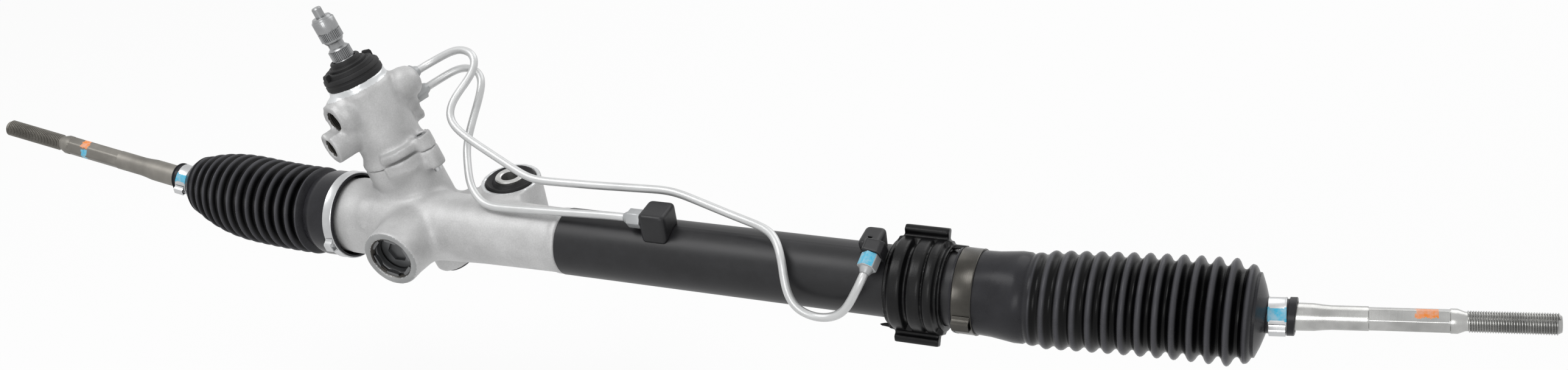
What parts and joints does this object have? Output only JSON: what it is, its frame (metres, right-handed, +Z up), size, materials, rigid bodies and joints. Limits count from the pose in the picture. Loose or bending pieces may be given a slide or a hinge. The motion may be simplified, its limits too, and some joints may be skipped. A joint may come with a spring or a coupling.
{
  "type": "steering rack",
  "caption": "Hydraulic power steering rack: pinion and rotary valve drive a toothed bar in a cast housing and cylinder tube, with booted tie rods.",
  "frame": {"origin": "centre of the mounting bush's bore, level with the rack bar", "axes": "+X along the rack bar from the pinion end to the cylinder end, +Z up along the bush bolt to the input shaft's side, +Y from the rack bar to the bush; the rack guide faces -Y"},
  "size_m": [1.2452, 0.1401, 0.2388],
  "materials": {
    "cast_aluminium": "as-cast aluminium, fine grain",
    "black_paint": "satin black paint",
    "zinc_steel": "bright zinc plate",
    "pipe_steel": "pale zinc-aluminium coating",
    "ground_steel": "ground steel",
    "rod_steel": "turned steel, lightly oiled",
    "dark_steel": "phosphated steel",
    "plug_aluminium": "machined aluminium",
    "bearing_plastic": "acetal",
    "black_rubber": "black rubber",
    "sleeve_aluminium": "extruded aluminium"
  },
  "bodies": {
    "housing": {"gear_housing": "cast_aluminium", "valve_housing": "cast_aluminium", "housing_bolts": "zinc_steel", "cylinder_tube": "black_paint", "union_left": "black_paint", "union_right": "black_paint", "pipe_short": "pipe_steel", "pipe_long": "pipe_steel", "pipe_nuts": "zinc_steel", "inner_seal": "black_rubber", "end_bush": "bearing_plastic", "outer_seal": "black_rubber", "end_ring": "dark_steel", "lower_bush": "bearing_plastic", "pinion_cap": "dark_steel", "bearing_outer": "ground_steel", "pinion_seal": "black_rubber", "input_seal": "black_rubber", "dust_cover": "black_rubber", "rack_guide": "plug_aluminium", "guide_liner": "bearing_plastic", "guide_spring": "dark_steel", "guide_plug": "plug_aluminium", "guide_lock_ring": "plug_aluminium", "bush_rubber": "black_rubber", "bush_sleeve": "sleeve_aluminium", "mount_block": "black_rubber", "boot_left": "black_rubber", "boot_right": "black_rubber", "large_clamp_left": "zinc_steel", "large_clamp_right": "dark_steel"},
    "rack": {"rack_bar": "ground_steel", "piston": "ground_steel", "piston_ring": "bearing_plastic", "lock_washers": "dark_steel", "socket_left": "dark_steel", "socket_right": "dark_steel"},
    "pinion": {"pinion_shaft": "ground_steel", "torsion_bar": "ground_steel", "input_shaft": "ground_steel", "valve_sleeve": "ground_steel", "bearing_inner": "ground_steel"},
    "seat_left": {"ball_seat_left": "bearing_plastic"},
    "rod_left": {"tie_rod_left": "rod_steel", "small_clamp_left": "zinc_steel"},
    "seat_right": {"ball_seat_right": "bearing_plastic"},
    "rod_right": {"tie_rod_right": "rod_steel", "small_clamp_right": "zinc_steel"}
  },
  "joints": [
    {"name": "rack_slide", "type": "slide", "parent": "housing", "child": "rack", "axis": [1, 0, 0], "range_m": [-0.078, 0.062], "deforming": ["boot_left", "boot_right"]},
    {"name": "pinion_turn", "type": "hinge", "parent": "housing", "child": "pinion", "pos_m": [-0.066, -0.0286, 0], "axis": [-0.2823, 0, 0.9593], "range_deg": [-540, 430]},
    {"name": "left_swing", "type": "hinge", "parent": "rack", "child": "seat_left", "pos_m": [-0.22, -0.045, 0], "axis": [0, 1, 0], "range_deg": [-37, 7]},
    {"name": "left_turn", "type": "hinge", "parent": "seat_left", "child": "rod_left", "pos_m": [-0.22, -0.045, 0], "axis": [0, 0, 1], "range_deg": [-17.3, 6.7]},
    {"name": "right_swing", "type": "hinge", "parent": "rack", "child": "seat_right", "pos_m": [0.52, -0.045, 0], "axis": [0, 1, 0], "range_deg": [-17.4, 26.6]},
    {"name": "right_turn", "type": "hinge", "parent": "seat_right", "child": "rod_right", "pos_m": [0.52, -0.045, 0], "axis": [0, 0, 1], "range_deg": [-15, 9]}
  ],
  "couplings": [
    {"joint": "pinion_turn", "follows": "rack_slide", "rad_per_m": 119.91}
  ]
}
